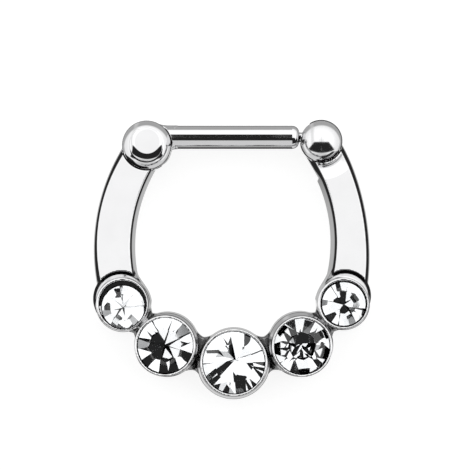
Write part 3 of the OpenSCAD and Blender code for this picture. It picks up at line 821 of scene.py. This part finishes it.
# Soft edges of the tent's parts on a mirror ball's disc: where a part starts and where it is whole
SOFT_FROM, LENS, RIM = (0.45, 0.8), (0.16, 0.10), (0.83, 0.91)
FOOT_Y, FOOT_R = (-0.54, -0.62), (0.5, 0.6)
STREAK_X, STREAK_HALF, STREAK_Y = 0.42, (0.12, 0.02), (-0.5, -0.3)
WINDOW_TOP, WINDOW_FOOT, WINDOW_SIDE = (-0.035, -0.075), (-0.60, -0.55), (0.32, 0.27)
SLIT_WIDTH, SLIT_DARK_TOP, SLIT_DARK_FOOT = (0.037, 0.035), (0.24, 0.22), (-0.30, -0.28)
SLIT_GREY, SLIT_PALE, SLIT_FOOT = (0.60, 0.66), (-0.28, -0.30), (-0.79, -0.82)
RING_IN, RING_OUT = (0.935, 0.95), (0.992, 0.985)


def studio_world():
    """White tent with a dark window, slit and ring, as a mirror ball seen from above shows it.

    x and y run over that ball's disc from -1 to 1, and r is the distance from its middle. The parts
    are placed so that the metal mirrors what it mirrors in the photograph.
    """
    world = bpy.data.worlds.new("studio")
    world.use_nodes = True
    tree = world.node_tree
    new, link = tree.nodes.new, tree.links.new

    def do(kind, *values):
        return math_node(tree, kind, *values)

    def step(value, low, high):
        """0 below low, 1 above high; the other way round where high is the smaller."""
        node = new("ShaderNodeMapRange")
        node.interpolation_type = "SMOOTHSTEP"
        flip = high < low
        feed(tree, node.inputs["Value"], value)
        node.inputs["From Min"].default_value = high if flip else low
        node.inputs["From Max"].default_value = low if flip else high
        node.inputs["To Min"].default_value = 1 if flip else 0
        node.inputs["To Max"].default_value = 0 if flip else 1
        return node.outputs["Result"]

    def mix(share, a, b):
        node = new("ShaderNodeMix")
        feed(tree, node.inputs["Factor"], share)
        feed(tree, node.inputs["A"], a)
        feed(tree, node.inputs["B"], b)
        return node.outputs["Result"]

    place = new("ShaderNodeTexCoord")
    half = new("ShaderNodeVectorMath")
    link(place.outputs["Generated"], half.inputs[0])
    half.inputs[1].default_value = (0, 0, 1)
    unit = new("ShaderNodeVectorMath")
    unit.operation = "NORMALIZE"
    link(half.outputs["Vector"], unit.inputs[0])
    split = new("ShaderNodeSeparateXYZ")
    link(unit.outputs["Vector"], split.inputs["Vector"])
    x, y = split.outputs["X"], split.outputs["Y"]
    straight = new("ShaderNodeSeparateXYZ")
    link(place.outputs["Generated"], straight.inputs["Vector"])
    side = do("ABSOLUTE", x)
    r = do("SQRT", do("ADD", do("MULTIPLY", x, x), do("MULTIPLY", y, y)))

    # grey round the edge, widest towards +y
    up = do("DIVIDE", y, do("MAXIMUM", r, 0.01))
    rim = do("SUBTRACT", r, do("MULTIPLY", do("MAXIMUM", up, 0), -0.15))
    level = mix(step(r, *SOFT_FROM), WHITE, SOFT_WHITE)
    # the lens straight above greys the flat faces a little
    level = mix(step(r, *LENS), level, FACE_WHITE)
    level = mix(step(rim, *RIM), level, GREY)
    # paler grey at the foot
    foot = do("MULTIPLY", step(y, *FOOT_Y), step(r, *FOOT_R))
    level = mix(foot, level, PALE_GREY)
    # faint grey streak on the left
    streak = step(do("ABSOLUTE", do("ADD", x, STREAK_X)), *STREAK_HALF)
    streak = do("MULTIPLY", streak, step(y, *STREAK_Y))
    level = mix(do("MULTIPLY", streak, 0.6), level, PALE_GREY)
    # dark window in front
    reach = do("SUBTRACT", side, do("MULTIPLY", y, -0.83))
    floor_y = do("SUBTRACT", y, do("MULTIPLY", do("MULTIPLY", x, x), 0.45))
    window = do("MULTIPLY", step(y, *WINDOW_TOP), step(floor_y, *WINDOW_FOOT))
    window = do("MULTIPLY", window, step(reach, *WINDOW_SIDE))
    # narrow slit over the middle of the ring, mirrored by the bar alone, see step_over_slit
    slit = do("ABSOLUTE", straight.outputs["X"])
    slit = step(slit, *SLIT_WIDTH)
    slit_dark = do("MULTIPLY", step(y, *SLIT_DARK_TOP), step(y, *SLIT_DARK_FOOT))
    slit_grey = do("MULTIPLY", slit, step(y, *SLIT_GREY))
    slit_pale = do("MULTIPLY", slit, step(y, *SLIT_PALE))
    slit_foot = do("MULTIPLY", slit, step(y, *SLIT_FOOT))
    level = mix(window, level, DARK)
    level = mix(do("MULTIPLY", slit, slit_dark), level, DARK)
    level = mix(slit_pale, level, PALE_GREY)
    level = mix(slit_grey, level, GREY)
    level = mix(slit_foot, level, DIM)
    # black ring far below the horizon, mirrored by steep edges, and grey straight below
    ring = do("MULTIPLY", step(r, *RING_IN), step(r, *RING_OUT))
    level = mix(ring, level, DARK)
    back = tree.nodes["Background"]
    link(level, back.inputs["Strength"])
    back.inputs["Color"].default_value = (1, 1, 1, 1)
    bpy.context.scene.world = world


studio_world()

scene = bpy.context.scene
scene.view_settings.view_transform = "Standard"
camera_data = bpy.data.cameras.new("camera")
SENSOR_WIDTH = 36
camera_data.sensor_width = SENSOR_WIDTH
camera_data.lens = SENSOR_WIDTH * VIEW_DISTANCE / (PHOTO_PX * MM_PER_PX)
camera_data.clip_start = 0.002
camera_data.clip_end = 10
camera = bpy.data.objects.new("camera", camera_data)
camera.location = (AXIS_X * MM, AXIS_Y * MM, (VIEW_DISTANCE + MID_Z) * MM)
scene.collection.objects.link(camera)
scene.camera = camera
